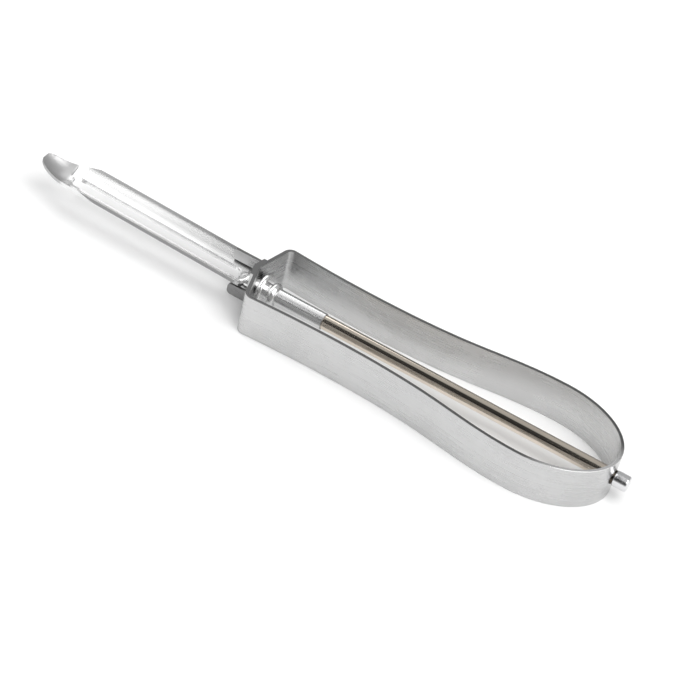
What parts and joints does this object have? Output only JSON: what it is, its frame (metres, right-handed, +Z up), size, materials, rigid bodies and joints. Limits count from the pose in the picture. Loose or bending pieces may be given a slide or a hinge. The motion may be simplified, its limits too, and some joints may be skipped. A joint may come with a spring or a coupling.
{
  "type": "apple peeler corer",
  "caption": "All-metal hand peeler and corer: a bent steel strip loop for a handle, a rod down its middle and a turning slotted trough blade with a scoop tip.",
  "frame": {"origin": "centre of the bounding box at its base, on the surface the handle's lower edge stands on", "axes": "+X along the rod from the blade's tip towards the rear cap, +Y to the side of the upper stop and the rim's notch, +Z up out of the blade's trough"},
  "size_m": [0.175, 0.0308, 0.0127],
  "materials": {
    "strip_steel": "satin",
    "blade_steel": "polished",
    "rod_brass": "polished",
    "cap_steel": "polished"
  },
  "bodies": {
    "handle": {"handle_band": "strip_steel"},
    "blade_unit": {"blade": "blade_steel", "retaining_washer": "blade_steel", "pivot_rod": "rod_brass", "rear_cap": "cap_steel"}
  },
  "joints": [
    {"name": "blade_swivel", "type": "hinge", "parent": "handle", "child": "blade_unit", "pos_m": [0, 0, 0.00635], "axis": [1, 0, 0], "range_deg": [-80, 0]}
  ]
}
